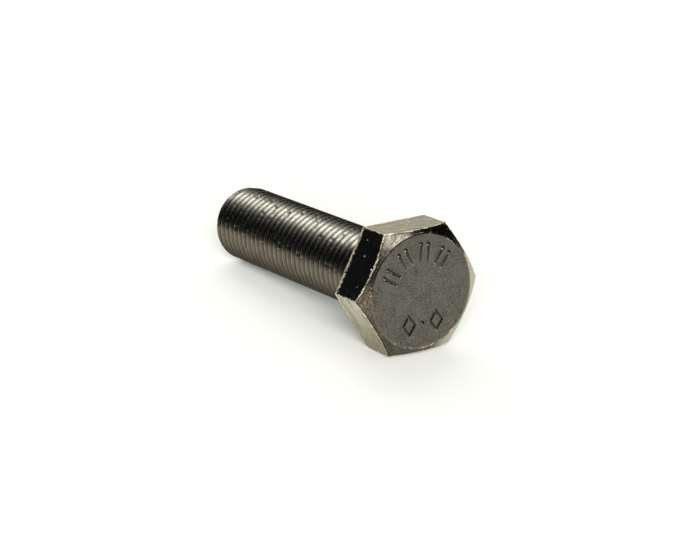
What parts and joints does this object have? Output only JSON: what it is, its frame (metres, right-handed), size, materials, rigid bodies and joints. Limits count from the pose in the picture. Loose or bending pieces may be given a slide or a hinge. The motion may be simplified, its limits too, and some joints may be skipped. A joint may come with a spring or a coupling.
{
  "type": "hex bolt",
  "caption": "Hexagon head bolt with a right-hand metric thread to the head, chamfered head and tip, and dark finished steel.",
  "frame": {"origin": "centre of the bearing face under the head, on the bolt's axis", "axes": "+Y along the bolt's axis from the head to the tip, +Z square to one pair of wrench flats and up as the bolt lies, +X to one corner of the hexagon"},
  "size_m": [0.0392, 0.0937, 0.034],
  "materials": {
    "steel": "dark finished and oiled steel, worn bright along its edges"
  },
  "bodies": {
    "root": {"hex_bolt": "steel"}
  },
  "joints": []
}
